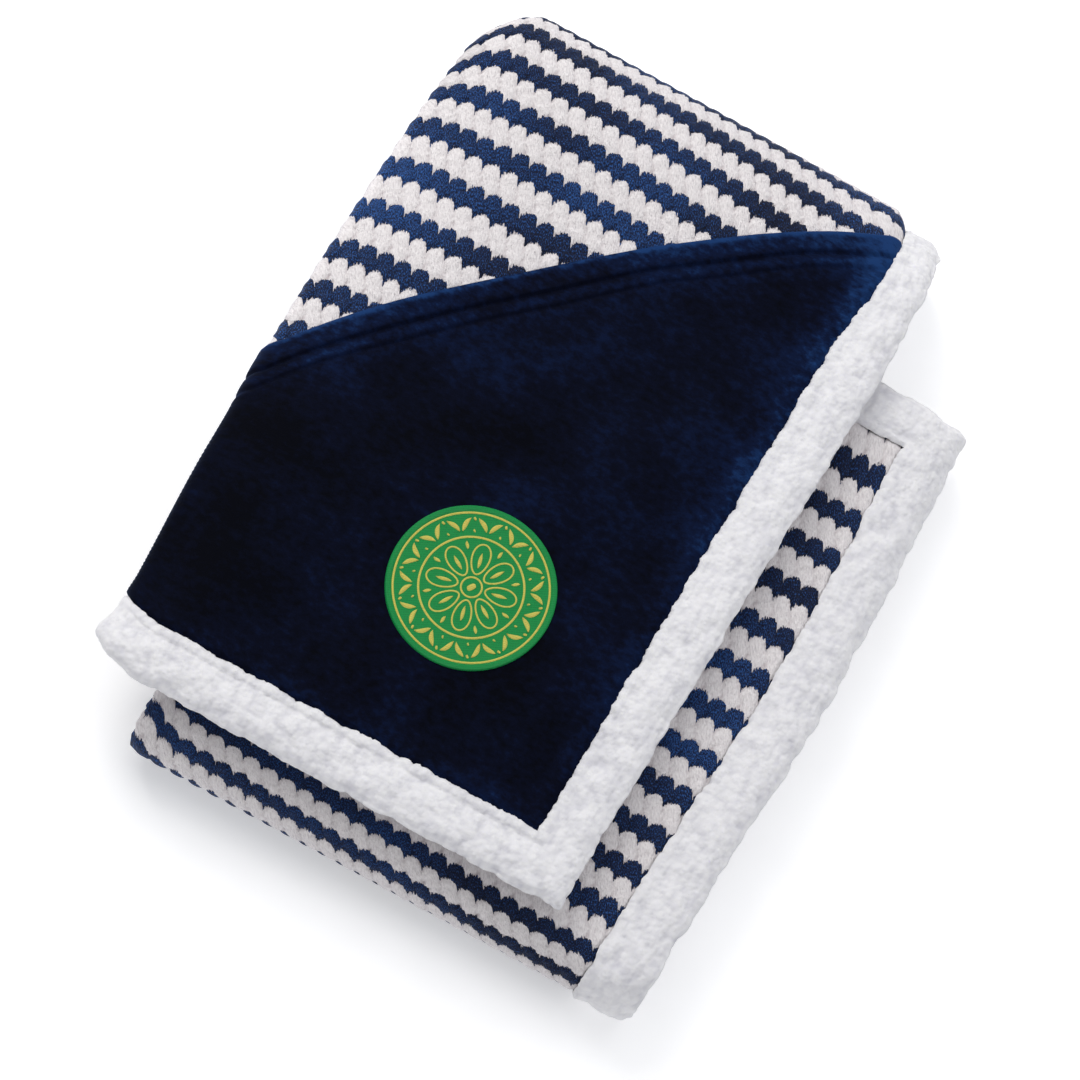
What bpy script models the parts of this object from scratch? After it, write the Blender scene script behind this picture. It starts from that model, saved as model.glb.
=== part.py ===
"""A sherpa throw of about 1.25 x 1.54 m, folded four plies wide and three panels long.

It has a knit-look face cloth, a sherpa back that is turned over to the front as a border all round,
a plush corner patch with a hem, and a round embroidered badge.

Each cloth is cut flat and then folded. Flat cloth has the coordinates (w, l, off):
w runs across the throw from its lowest ply's free edge to its top ply's free edge,
l runs along the throw from the outer flap's near hem to the inner flap's hem, and
off is the height above the seam plane between the two cloths, with the face side positive.
Folding turns them into metres with +X right, +Y away from the viewer and +Z up.
The origin is at the bottom centre of the folded throw. All sizes are in metres.
"""

import math

import bmesh
import bpy
from mathutils import Matrix, Vector

# Cloths
SHERPA_THICK = 0.0028
GAP = 0.0003
FACE_THICK = 0.0015
FACE_TOP = GAP + FACE_THICK
PATCH_THICK = 0.0013
HEM_RAISE = 0.0009
BADGE_THICK = 0.0009
BORDER = 0.032

# Folds across the width, between seam planes: fleece to fleece, and face to face
FLEECE_GAP = 0.0012
FACE_GAP = 0.0026
LEFT_RADIUS = SHERPA_THICK + FLEECE_GAP / 2
RIGHT_RADIUS = FACE_TOP + FACE_GAP / 2
LEFT_CENTRE = LEFT_RADIUS + FACE_TOP
TOP_PLY = 0.318
RIGHT_CENTRE = TOP_PLY - 0.014

# The stack of four plies, and the panels that lie on each other
DEPTH_1 = FACE_TOP
DEPTH_2 = DEPTH_1 + 2 * LEFT_RADIUS
DEPTH_3 = DEPTH_2 + 2 * RIGHT_RADIUS
DEPTH_4 = DEPTH_3 + 2 * LEFT_RADIUS
PANEL = DEPTH_4 + FACE_TOP
PANEL_GAP = 0.0020
STEP = PANEL + PANEL_GAP
FOLD_RADIUS = PANEL + PANEL_GAP / 2
INNER_TOP = 2 * PANEL + PANEL_GAP
OUTER_TOP = 3 * PANEL + 2 * PANEL_GAP

# Plan of the folded throw, from its near fold to its far fold
HALF_LENGTH = 0.2715
NEAR_FOLD_Y = -HALF_LENGTH + FOLD_RADIUS
FAR_FOLD_Y = HALF_LENGTH - FOLD_RADIUS
OUTER_HEM_Y = -0.249
INNER_HEM_Y = 0.1495
FAR_RISE = OUTER_TOP - FOLD_RADIUS
FAR_BULGE = FAR_RISE**2 / FOLD_RADIUS  # the outer flap starts to curve down this far in from the far end

# Left and right edge of the cloth along its length, which gives the skewed lie of the flaps,
# and the shift that brings the middle of the footprint to the origin
CENTRE_X = 0.0047
PLAN = [
    {"panel": "outer", "along": 0.00, "left": -0.194, "right": 0.100},
    {"panel": "outer", "along": 0.26, "left": -0.200, "right": 0.109},
    {"panel": "outer", "along": 0.50, "left": -0.202, "right": 0.118},
    {"panel": "outer", "along": 0.75, "left": -0.198, "right": 0.127},
    {"panel": "far", "along": 0.00, "left": -0.190, "right": 0.127},
    {"panel": "base", "along": 0.00, "left": -0.190, "right": 0.126},
    {"panel": "base", "along": 1.00, "left": -0.156, "right": 0.167},
    {"panel": "inner", "along": 0.00, "left": -0.156, "right": 0.168},
    {"panel": "inner", "along": 0.50, "left": -0.139, "right": 0.188},
    {"panel": "inner", "along": 1.00, "left": -0.122, "right": 0.194},
]

# Rounded corners at the left folds, and how far back the lower plies' hems lie for each metre of depth
FAR_CORNER = {"radius": 0.034, "reach": 0.120}
HEM_CORNER = {"radius": 0.018, "reach": 0.100}
HEM_SETBACK = {"share": 0.45, "reach": 0.090}

# How the flaps droop where they overhang what is under them
OUTER_DROOP = {"start": 0.002, "reach": 0.068, "depth": 0.020}
INNER_DROOP = {"start": 0.014, "reach": 0.060, "depth": 0.0232}

# Corner patch and badge, in flat cloth from the corner where the border's inner edges meet
PATCH_LEG_ACROSS = 0.470
PATCH_LEG_ALONG = 0.473
HEM_WIDTH = 0.028
HEM_SLOPE = 0.001
BADGE_RADIUS = 0.051
BADGE_FROM_CORNER = {"across": 0.109, "along": 0.109}
BADGE_SIDES = 48

# Where the cloth bends: distances from the stack's left side, and steps in each fold and flap
BENDS = (0.0, 0.016, 0.034, 0.052, 0.074, 0.243, 0.262, TOP_PLY - BORDER, RIGHT_CENTRE, TOP_PLY)
PLY_FOLD_STEPS = 4
OUTER_FLAT_STEPS = 7
OUTER_CURVE_STEPS = 9
STEPS = {"far": 4, "base": 3, "near": 8, "inner": 6}

COLOURS = {
    "sherpa_back": {"colour": (0.86, 0.86, 0.88, 1), "rough": 0.95},
    "knit_face": {"colour": (0.045, 0.085, 0.24, 1), "rough": 0.90},
    "corner_patch": {"colour": (0.010, 0.020, 0.070, 1), "rough": 0.75},
    "badge": {"colour": (0.02, 0.42, 0.22, 1), "rough": 0.55},
}

ARC_LEFT = math.pi * LEFT_RADIUS
ARC_RIGHT = math.pi * RIGHT_RADIUS
ARC_FOLD = math.pi * FOLD_RADIUS
ARC_SAMPLES = 48


def smooth(t):
    """0 below 0, 1 above 1, and a smooth step between."""
    t = min(1.0, max(0.0, t))
    return t * t * (3 - 2 * t)


def mix(a, b, t):
    return a + (b - a) * t


def width_parts():
    """The plies and folds across the width, lowest ply first: name and length."""
    return [
        ("P4", TOP_PLY - LEFT_CENTRE),
        ("left_low", ARC_LEFT),
        ("P3", RIGHT_CENTRE - LEFT_CENTRE),
        ("right", ARC_RIGHT),
        ("P2", RIGHT_CENTRE - LEFT_CENTRE),
        ("left_top", ARC_LEFT),
        ("P1", TOP_PLY - LEFT_CENTRE),
    ]


WIDTH = sum(length for _, length in width_parts())


def section_point(w, off):
    """Across the folded stack: distance from its left side, and depth below its outer surface."""
    for name, length in width_parts():
        if w <= length or name == "P1":
            break
        w -= length
    if name == "P4":
        return TOP_PLY - w, DEPTH_4 + off
    if name == "P3":
        return LEFT_CENTRE + w, DEPTH_3 - off
    if name == "P2":
        return RIGHT_CENTRE - w, DEPTH_2 + off
    if name == "P1":
        return LEFT_CENTRE + w, DEPTH_1 - off
    turn = math.pi * w / length
    if name == "right":
        reach = RIGHT_RADIUS - off
        return RIGHT_CENTRE + reach * math.sin(turn), (DEPTH_2 + DEPTH_3) / 2 + reach * math.cos(turn)
    middle = (DEPTH_3 + DEPTH_4) / 2 if name == "left_low" else (DEPTH_1 + DEPTH_2) / 2
    reach = LEFT_RADIUS + off
    return LEFT_CENTRE - reach * math.sin(turn), middle + reach * math.cos(turn)


def quarter_arc(bulge, rise):
    """Lengths along the curve down to the far end, from its top in even steps of angle."""
    lengths = [0.0]
    for step in range(ARC_SAMPLES):
        turn = math.pi / 2 * (step + 0.5) / ARC_SAMPLES
        speed = math.hypot(bulge * math.cos(turn), rise * math.sin(turn))
        lengths.append(lengths[-1] + speed * math.pi / 2 / ARC_SAMPLES)
    return lengths


OUTER_FLAT = HALF_LENGTH - FAR_BULGE - OUTER_HEM_Y
OUTER_LENGTH = OUTER_FLAT + quarter_arc(FAR_BULGE, FAR_RISE)[-1]


def length_parts():
    """The flaps and folds along the length, outer flap first."""
    return [
        ("outer", OUTER_LENGTH),
        ("far", ARC_FOLD / 2),
        ("base", FAR_FOLD_Y - NEAR_FOLD_Y),
        ("near", ARC_FOLD),
        ("inner", INNER_HEM_Y - NEAR_FOLD_Y),
    ]


LENGTH = sum(length for _, length in length_parts())

PATCH_CORNER_W = WIDTH - BORDER - GAP
PATCH_CORNER_L = BORDER + GAP
PATCH_TIP_W = PATCH_CORNER_W - PATCH_LEG_ACROSS
PATCH_TIP_L = PATCH_CORNER_L + PATCH_LEG_ALONG
HEM_NORMAL = Vector((-PATCH_LEG_ALONG, PATCH_LEG_ACROSS, 0.0)).normalized()
BADGE_PLACE = (
    PATCH_CORNER_W - BADGE_FROM_CORNER["across"],
    PATCH_CORNER_L + BADGE_FROM_CORNER["along"],
)


def place_along(l):
    """The flap or fold that l lies in, and how far through it."""
    for name, length in length_parts():
        if l <= length or name == "inner":
            return name, l / length
        l -= length


def plan_stations():
    """The plan table with each row's place along the cloth in metres."""
    starts, start = {}, 0.0
    for name, length in length_parts():
        starts[name] = (start, length)
        start += length
    return [(starts[row["panel"]][0] + row["along"] * starts[row["panel"]][1], row) for row in PLAN]


STATIONS = plan_stations()


def edge_at(side, name, t):
    """X of the cloth's left or right edge at a place along its length, on a smooth line through the plan."""
    start = 0.0
    for part, length in length_parts():
        if part == name:
            break
        start += length
    l = start + t * length
    places = [place for place, _ in STATIONS]
    values = [row[side] for _, row in STATIONS]
    last = len(places) - 2
    k = max((i for i in range(last + 1) if places[i] <= l), default=0)

    def slope(i):
        low, high = max(i - 1, 0), min(i + 1, last + 1)
        return (values[high] - values[low]) / (places[high] - places[low])

    span = places[k + 1] - places[k]
    u = (l - places[k]) / span
    hermite = (
        (2 * u**3 - 3 * u**2 + 1) * values[k] + (u**3 - 2 * u**2 + u) * span * slope(k)
        + (3 * u**2 - 2 * u**3) * values[k + 1] + (u**3 - u**2) * span * slope(k + 1)
    )
    return hermite


def base_edge(side, y):
    """X of the bottom panel's edge at y."""
    return edge_at(side, "base", (FAR_FOLD_Y - y) / (FAR_FOLD_Y - NEAR_FOLD_Y))


def inner_edge(side, y):
    """X of the inner flap's edge at y."""
    return edge_at(side, "inner", min(1.0, max(0.0, (y - NEAR_FOLD_Y) / (INNER_HEM_Y - NEAR_FOLD_Y))))


def droop(overhang, how):
    """How far cloth hangs down at a distance past the edge of what holds it up."""
    return how["depth"] * max(0.0, (overhang - how["start"]) / how["reach"]) ** 2


def outer_droop(x, y):
    return droop(inner_edge("left", y) - x, OUTER_DROOP)


def inner_droop(x, y):
    return droop(x - base_edge("right", y), INNER_DROOP)


def corner_pull(from_left, corner):
    """How far a rounded corner is drawn in, at a distance from the left fold."""
    return max(0.0, corner["radius"] - from_left) ** 2 / corner["radius"]


def outer_surface_at(x, t):
    """The outer flap: level or sunk, and then curving down to the far end."""
    rise = FAR_RISE - outer_droop(x, INNER_HEM_Y)
    bulge = rise**2 / FOLD_RADIUS
    arc = quarter_arc(bulge, rise)
    flat = HALF_LENGTH - bulge - OUTER_HEM_Y
    run = t * (flat + arc[-1])
    if run <= flat:
        y = OUTER_HEM_Y + run
        return y, OUTER_TOP - outer_droop(x, y), 0.0, 1.0
    k = max(i for i in range(ARC_SAMPLES) if arc[i] <= run - flat)
    turn = math.pi / 2 * (k + (run - flat - arc[k]) / (arc[k + 1] - arc[k])) / ARC_SAMPLES
    facing = Vector((math.sin(turn) / bulge, math.cos(turn) / rise)).normalized()
    y = HALF_LENGTH - bulge + bulge * math.sin(turn)
    return y, FOLD_RADIUS + rise * math.cos(turn), facing[0], facing[1]


def surface_at(x, name, t):
    """Y and Z of the panel's outer surface, and the way it faces, over x at a place along the length."""
    if name == "outer":
        return outer_surface_at(x, t)
    if name == "base":
        return mix(FAR_FOLD_Y, NEAR_FOLD_Y, t), 0.0, 0.0, -1.0
    if name == "inner":
        y = mix(NEAR_FOLD_Y, INNER_HEM_Y, t)
        return y, INNER_TOP - inner_droop(x, y), 0.0, 1.0
    turn, centre = (math.pi / 2 * (1 + t), FAR_FOLD_Y) if name == "far" else (math.pi * (1 + t), NEAR_FOLD_Y)
    facing = (math.sin(turn), math.cos(turn))
    return centre + FOLD_RADIUS * facing[0], FOLD_RADIUS * (1 + facing[1]), *facing


def folded(w, l, off):
    """Where a point of the flat cloth lies in the folded throw. It runs straight between two bends."""
    across, depth = section_point(w, off)
    name, t = place_along(l)
    left, right = edge_at("left", name, t), edge_at("right", name, t)
    widen = (right - left) / TOP_PLY
    k = max(i for i, bend in enumerate(BENDS[:-1]) if bend <= max(across, 0.0))
    ends = [
        (
            *surface_at(left + bend * widen, name, t),
            corner_pull(bend * widen, FAR_CORNER),
            corner_pull(bend * widen, HEM_CORNER),
        )
        for bend in BENDS[k:k + 2]
    ]
    share = (across - BENDS[k]) / (BENDS[k + 1] - BENDS[k])
    y, z, facing_y, facing_z, far_pull, hem_pull = (mix(a, b, share) for a, b in zip(*ends))
    y -= facing_y * depth
    y -= far_pull * smooth(1 - (HALF_LENGTH - y) / FAR_CORNER["reach"])
    if name == "outer":
        from_hem = y - OUTER_HEM_Y
        y += hem_pull * smooth(1 - from_hem / HEM_CORNER["reach"])
        y += HEM_SETBACK["share"] * depth * smooth(1 - from_hem / HEM_SETBACK["reach"])
    return CENTRE_X + left + across * widen, y, z - facing_z * depth


def width_stations():
    """The flat cloth's columns, between its two side borders."""
    marks, start = [], 0.0
    spans = {
        "P4": [TOP_PLY - bend for bend in BENDS],
        "P3": [bend - LEFT_CENTRE for bend in BENDS],
        "P2": [RIGHT_CENTRE - bend for bend in BENDS],
        "P1": [bend - LEFT_CENTRE for bend in BENDS],
    }
    for name, length in width_parts():
        if name in spans:
            marks += [start + span for span in spans[name] if 0 < span < length]
        else:
            marks += [start + length * k / PLY_FOLD_STEPS for k in range(PLY_FOLD_STEPS + 1)]
        start += length
    return sorted(m for m in marks if BORDER + GAP < m < WIDTH - BORDER - GAP)


def length_stations():
    """The flat cloth's rows, between its two end borders."""
    outer_curve = OUTER_LENGTH - OUTER_FLAT
    marks = [OUTER_FLAT * k / OUTER_FLAT_STEPS for k in range(OUTER_FLAT_STEPS)]
    marks += [OUTER_FLAT + outer_curve * k / OUTER_CURVE_STEPS for k in range(OUTER_CURVE_STEPS)]
    start = OUTER_LENGTH
    for name, length in length_parts()[1:]:
        marks += [start + length * k / STEPS[name] for k in range(STEPS[name])]
        start += length
    return sorted(m for m in marks if BORDER + GAP < m < LENGTH - BORDER - GAP)


def flat_grid(columns, rows):
    """A flat sheet of quads with a column or row of vertices at each place given."""
    grid = bmesh.new()
    bmesh.ops.create_grid(grid, x_segments=len(columns) - 1, y_segments=len(rows) - 1, size=1.0)
    for vert in grid.verts:
        i = round((vert.co.x + 1) / 2 * (len(columns) - 1))
        j = round((vert.co.y + 1) / 2 * (len(rows) - 1))
        vert.co = (columns[i], rows[j], 0.0)
    return grid


def hem_distance(w, l):
    """How far a place in the flat cloth is past the patch's diagonal edge, negative on the patch."""
    return (w - PATCH_TIP_W) * HEM_NORMAL.x + (l - PATCH_CORNER_L) * HEM_NORMAL.y


def flat_layout():
    """The whole throw flat, with its folds and the patch's hem as lines in one sheet of triangles."""
    sides = (0.0, TOP_PLY - RIGHT_CENTRE, BORDER, BORDER + GAP)
    ends = (0.0, BORDER, BORDER + GAP)
    columns = [*sides, *width_stations(), *(WIDTH - s for s in reversed(sides))]
    rows = [*ends, *length_stations(), *(LENGTH - s for s in reversed(ends))]
    layout = flat_grid(columns, rows)
    for past in (0.0, -HEM_WIDTH, -HEM_WIDTH - HEM_SLOPE):
        near_patch = [f for f in layout.faces if in_patch_box(f.calc_center_median())]
        edges = {e for f in near_patch for e in f.edges}
        verts = {v for f in near_patch for v in f.verts}
        bmesh.ops.bisect_plane(
            layout,
            geom=[*near_patch, *edges, *verts],
            plane_co=Vector((PATCH_TIP_W, PATCH_CORNER_L, 0.0)) + HEM_NORMAL * past,
            plane_no=HEM_NORMAL,
        )
    for folded_back, method in ((False, "FIXED"), (True, "ALTERNATE")):
        plies = [f for f in layout.faces if runs_left(f.calc_center_median().x) == folded_back]
        bmesh.ops.triangulate(layout, faces=plies, quad_method=method)
    return layout


def runs_left(w):
    """Whether the cloth at w runs from right to left, so that its triangles mirror its neighbours'."""
    return section_point(w + GAP, 0.0)[0] < section_point(w - GAP, 0.0)[0]


def in_patch_box(place):
    return PATCH_TIP_W < place.x < PATCH_CORNER_W and PATCH_CORNER_L < place.y < PATCH_TIP_L


def on_patch(place):
    return in_patch_box(place) and hem_distance(place.x, place.y) < 0


def on_border(place):
    return min(place.x, WIDTH - place.x, place.y, LENGTH - place.y) < BORDER


def inside_border(place):
    return min(place.x, WIDTH - place.x, place.y, LENGTH - place.y) > BORDER + GAP


def raise_faces(cloth, faces, height, keep):
    """Extrude faces straight up to a height, and keep them as the underside or take them out."""
    raised = bmesh.ops.extrude_face_region(cloth, geom=faces, use_keep_orig=True)["geom"]
    for item in raised:
        if isinstance(item, bmesh.types.BMVert):
            item.co.z = height
    if not keep:
        bmesh.ops.delete(cloth, geom=faces, context="FACES")


def flat_cloth(layout, within, low, high):
    """A closed flat cloth over the part of the layout that is within it."""
    cloth = layout.copy()
    bmesh.ops.delete(cloth, geom=[f for f in cloth.faces if not within(f.calc_center_median())], context="FACES")
    for vert in cloth.verts:
        vert.co.z = low
    raise_faces(cloth, cloth.faces[:], high, keep=True)
    return cloth


def folded_part(name, flat, collection):
    """Fold a flat cloth and keep it as a part with its own material."""
    bmesh.ops.recalc_face_normals(flat, faces=flat.faces[:])
    for vert in flat.verts:
        vert.co = folded(*vert.co)
    mesh = bpy.data.meshes.new(name)
    flat.to_mesh(mesh)
    flat.free()
    mesh.materials.append(material(name))
    mesh.shade_smooth()
    mesh.set_sharp_from_angle(angle=math.radians(40))
    collection.objects.link(bpy.data.objects.new(name, mesh))


def material(name):
    made = bpy.data.materials.new(name)
    made.use_nodes = True
    shader = made.node_tree.nodes["Principled BSDF"]
    shader.inputs["Base Color"].default_value = COLOURS[name]["colour"]
    shader.inputs["Roughness"].default_value = COLOURS[name]["rough"]
    shader.inputs["Metallic"].default_value = 0.0
    return made


def make_sherpa(layout, collection):
    """The fleece back, turned over to the front at full height as the border."""
    flat = flat_cloth(layout, lambda place: True, -SHERPA_THICK, 0.0)
    on_top = [f for f in flat.faces if f.calc_center_median().z > -GAP and on_border(f.calc_center_median())]
    raise_faces(flat, on_top, FACE_TOP, keep=False)
    folded_part("sherpa_back", flat, collection)


def make_face(layout, collection):
    """The knit-look face cloth, inside the border."""
    folded_part("knit_face", flat_cloth(layout, inside_border, GAP, FACE_TOP), collection)


def make_patch(layout, collection):
    """The plush corner patch, cut along its diagonal and hemmed there; it goes round the left fold."""
    low, high = FACE_TOP + GAP, FACE_TOP + GAP + PATCH_THICK
    flat = flat_cloth(layout, on_patch, low, high)
    for vert in flat.verts:
        in_hem = hem_distance(vert.co.x, vert.co.y) > -HEM_WIDTH - HEM_SLOPE / 2
        if in_hem and vert.co.z > (low + high) / 2 and vert.co.x > WIDTH - TOP_PLY + LEFT_CENTRE:
            vert.co.z += HEM_RAISE
    folded_part("corner_patch", flat, collection)


def make_badge(collection):
    """The embroidered badge, a thin round plate on the patch with its edge chamfered."""
    low = FACE_TOP + GAP + PATCH_THICK + GAP
    flat = bmesh.new()
    place = Matrix.Translation((*BADGE_PLACE, low + BADGE_THICK / 2))
    bmesh.ops.create_cone(
        flat, cap_ends=True, segments=BADGE_SIDES, depth=BADGE_THICK,
        radius1=BADGE_RADIUS, radius2=BADGE_RADIUS, matrix=place,
    )
    rim = [e for e in flat.edges if min(v.co.z for v in e.verts) > low + BADGE_THICK / 2]
    bmesh.ops.bevel(flat, geom=rim, offset=BADGE_THICK * 0.4, segments=1, affect="EDGES")
    folded_part("badge", flat, collection)


def main():
    for obj in list(bpy.data.objects):
        bpy.data.objects.remove(obj)
    collection = bpy.data.collections.new("folded_sherpa_blanket")
    bpy.context.scene.collection.children.link(collection)
    layout = flat_layout()
    make_sherpa(layout, collection)
    make_face(layout, collection)
    make_patch(layout, collection)
    make_badge(collection)
    layout.free()


main()
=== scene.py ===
"""The dressed sherpa throw: fleece, striped knit-look cloth, plush corner patch and embroidered badge.

Every cloth is laid out flat and then folded by one function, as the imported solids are.
Flat cloth has the coordinates (w, l, off): across the throw, along it, and above its seam plane.
"""

import math

import bpy
import numpy as np
from mathutils import Matrix, Vector


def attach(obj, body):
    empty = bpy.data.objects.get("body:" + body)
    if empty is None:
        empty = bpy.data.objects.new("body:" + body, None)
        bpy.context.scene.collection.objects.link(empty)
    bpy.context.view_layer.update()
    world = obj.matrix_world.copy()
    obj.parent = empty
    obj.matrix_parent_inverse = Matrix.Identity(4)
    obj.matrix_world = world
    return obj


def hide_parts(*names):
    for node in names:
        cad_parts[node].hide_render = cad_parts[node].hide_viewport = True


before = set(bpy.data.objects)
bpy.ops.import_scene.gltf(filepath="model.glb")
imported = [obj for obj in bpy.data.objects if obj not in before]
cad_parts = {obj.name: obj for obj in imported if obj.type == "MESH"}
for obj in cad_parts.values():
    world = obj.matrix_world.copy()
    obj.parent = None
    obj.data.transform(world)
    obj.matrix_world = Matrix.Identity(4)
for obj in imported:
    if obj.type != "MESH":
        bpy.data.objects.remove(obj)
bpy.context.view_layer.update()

# Cloths and folds, in metres, as in the solids
SHERPA_THICK = 0.0028
GAP = 0.0003
FACE_TOP = 0.0018
BORDER = 0.032
LEFT_RADIUS = SHERPA_THICK + 0.0006
RIGHT_RADIUS = FACE_TOP + 0.0013
LEFT_CENTRE = LEFT_RADIUS + FACE_TOP
TOP_PLY = 0.318
RIGHT_CENTRE = TOP_PLY - 0.014
DEPTH_1 = FACE_TOP
DEPTH_2 = DEPTH_1 + 2 * LEFT_RADIUS
DEPTH_3 = DEPTH_2 + 2 * RIGHT_RADIUS
DEPTH_4 = DEPTH_3 + 2 * LEFT_RADIUS
PANEL = DEPTH_4 + FACE_TOP
PANEL_GAP = 0.0020
FOLD_RADIUS = PANEL + PANEL_GAP / 2
INNER_TOP = 2 * PANEL + PANEL_GAP
OUTER_TOP = 3 * PANEL + 2 * PANEL_GAP
HALF_LENGTH = 0.2715
NEAR_FOLD_Y = -HALF_LENGTH + FOLD_RADIUS
FAR_FOLD_Y = HALF_LENGTH - FOLD_RADIUS
OUTER_HEM_Y = -0.249
INNER_HEM_Y = 0.1495
FAR_RISE = OUTER_TOP - FOLD_RADIUS
CENTRE_X = 0.0047

# Outline of the folded throw: a panel, the share along it, and its left and right edges there
PLAN = [
    ("outer", 0.00, -0.194, 0.100),
    ("outer", 0.26, -0.200, 0.109),
    ("outer", 0.50, -0.202, 0.118),
    ("outer", 0.75, -0.198, 0.127),
    ("far", 0.00, -0.190, 0.127),
    ("base", 0.00, -0.190, 0.126),
    ("base", 1.00, -0.156, 0.167),
    ("inner", 0.00, -0.156, 0.168),
    ("inner", 0.50, -0.139, 0.188),
    ("inner", 1.00, -0.122, 0.194),
]

# Corners, droops and small shifts, in metres
FAR_CORNER = {"radius": 0.034, "share": 1.0, "reach": 0.120}
HEM_CORNER = {"radius": 0.030, "share": 0.4, "reach": 0.100}
FAR_RIGHT = {"pull": 0.013, "from": 0.044, "over": 0.014, "reach": 0.070}
DRAWN_IN = {"most": 0.009, "at": 0.034, "width": 0.024, "edge": 0.020, "start": 0.140, "over": 0.085}
HEM_SETBACK = {"share": 0.45, "reach": 0.090}
OUTER_DROOP = {"start": 0.002, "reach": 0.068, "depth": 0.020}
INNER_DROOP = {"start": 0.014, "reach": 0.060, "depth": 0.0232}
PATCH_LEGS = (0.470, 0.473)
BADGE_RADIUS = 0.051
BADGE_FROM_CORNER = 0.109

# Knit-look cloth: stripe repeat, tufts of the two colours, and how far the tuft columns lean
STRIPE = 0.0306
TUFT_PITCH = 0.0116
LEAN = 0.505
TUFT_DRIFT = 0.32
TUFT_HALF_WIDTH = 0.0052
TOP_HALF_WIDTH = 0.0057
SIDE_POWER = 2.4
END_POWER = 3.2
WAIST = {"depth": 0.20, "length": 0.0024}
TUFTS = {
    "cream": {"row": 0.5, "half_length": 0.0104, "shift": 0.00},
    "navy": {"row": 0.0, "half_length": 0.0091, "shift": 0.08},
}
STRIPE_START = 0.0085

# How the stripes were laid, in metres: shifts of the pattern along the throw, more of them across it on
# the upper flap, and a tilt towards the left fold by the near fold
LAID_ALONG = [
    (0.000, 0.021), (0.242, 0.021), (0.272, 0.020), (0.304, 0.019), (0.338, 0.0165), (0.371, 0.0130),
    (0.405, 0.0103), (0.437, 0.0095), (0.465, 0.0087), (0.520, 0.0060), (0.550, 0.0040), (0.600, 0.0020),
    (1.085, -0.0480), (1.1208, -0.0450), (1.1275, -0.0404), (1.1373, -0.0349), (1.1473, -0.0296),
    (1.1757, -0.0274), (1.2013, -0.0224), (1.2273, -0.0178), (1.2556, -0.0155), (1.2823, -0.0116),
    (1.3425, -0.0106), (1.4035, -0.0104), (1.4620, -0.0077), (1.4771, -0.0075), (1.4960, -0.0111),
    (1.5151, -0.0160), (1.5480, -0.0160),
]
LAID_ACROSS = [
    (0.900, -0.0060), (0.945, -0.0055), (0.965, -0.0030), (0.985, 0.0002), (1.038, 0.0000), (1.078, 0.0010),
    (1.122, 0.0045), (1.170, 0.0110), (1.255, 0.0150),
]
ACROSS_UNTIL = {"end": 0.62, "over": 0.06}
TILT = {
    "slope": 0.055, "from": 1.167, "curl": 14, "curl_from": 0.967, "start": 1.09, "end": 1.20, "over": 0.03,
}
KNIT_LOW = 0.0005
KNIT_HEIGHT = 0.0026

# Heights of the other cloths above the seam plane
PATCH_TOP = 0.0037
HEM_TOP = 0.0052
HEM_WIDTH = 0.0165

# Relief of the fleece: curls in two sizes (size, share, seed), swells, and the near hem's left corner
CURL = 0.0019
CURLS = [(0.0050, 0.65, 3), (0.0031, 0.35, 8)]
SWELL = {"height": 0.0030, "size": 0.0150, "seed": 21}
WAVE = 0.0005
CORNER = {
    "roll": 0.0030, "roll_width": 0.022, "flare": 0.0022, "flare_width": 0.026, "from": 0.025, "over": 0.019,
}

# Camera of the photo, in degrees, metres and millimetres
CAMERA = {
    "aim": (-0.0021, -0.0541, 0.0582), "elevation": 68.0, "roll": 28.6, "distance": 1.7528,
    "lens": 100.0, "sensor": 36.0,
}

# Light: the lamps' names, places, sizes, powers and tones, the room's light and the floor's own
LAMPS = [
    ("key", (-1.15, 0.95, 1.55), 1.1, 20.5, (1.0, 0.985, 0.96)),
    ("top", (0.10, 0.85, 2.2), 2.0, 13.0, (0.97, 0.98, 1.0)),
    ("fill", (1.3, -1.2, 1.4), 1.6, 2.0, (0.96, 0.98, 1.0)),
]
ROOM_LIGHT = {"tone": (0.96, 0.97, 1.0, 1), "power": 0.54}
FLOOR_GLOW = 0.27

ARC_LEFT = math.pi * LEFT_RADIUS
ARC_RIGHT = math.pi * RIGHT_RADIUS
ARC_FOLD = math.pi * FOLD_RADIUS


def smooth(t):
    """0 below 0, 1 above 1, and a smooth step between."""
    t = np.clip(t, 0.0, 1.0)
    return t * t * (3 - 2 * t)


def mix(a, b, t):
    return a + (b - a) * t


def quarter_round(t):
    """0 at 0, and up a quarter circle to 1 at 1."""
    return np.sqrt(np.clip(1 - (1 - np.clip(t, 0, 1)) ** 2, 0, 1))


def from_table(x, table):
    """A value read off a table of pairs."""
    return np.interp(x, *np.array(table).T)


# Folding

# Across the flat cloth, the plies and the folds between them, from the lowest ply to the top one, P1
END_PLY, MIDDLE_PLY = TOP_PLY - LEFT_CENTRE, RIGHT_CENTRE - LEFT_CENTRE
W_LENGTHS = np.array([END_PLY, ARC_LEFT, MIDDLE_PLY, ARC_RIGHT, MIDDLE_PLY, ARC_LEFT, END_PLY])
W_STARTS = np.concatenate([[0.0], np.cumsum(W_LENGTHS)[:-1]])
WIDTH = float(W_LENGTHS.sum())
P1_START = float(W_STARTS[6])


def quarter_arc(bulge, rise, samples=96):
    """Angles and lengths along the curve down to the far end."""
    turn = np.linspace(0, math.pi / 2, samples + 1)
    middle = (turn[1:] + turn[:-1]) / 2
    speed = np.hypot(bulge * np.cos(middle), rise * np.sin(middle))
    return turn, np.concatenate([[0.0], np.cumsum(speed) * math.pi / 2 / samples])


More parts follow.
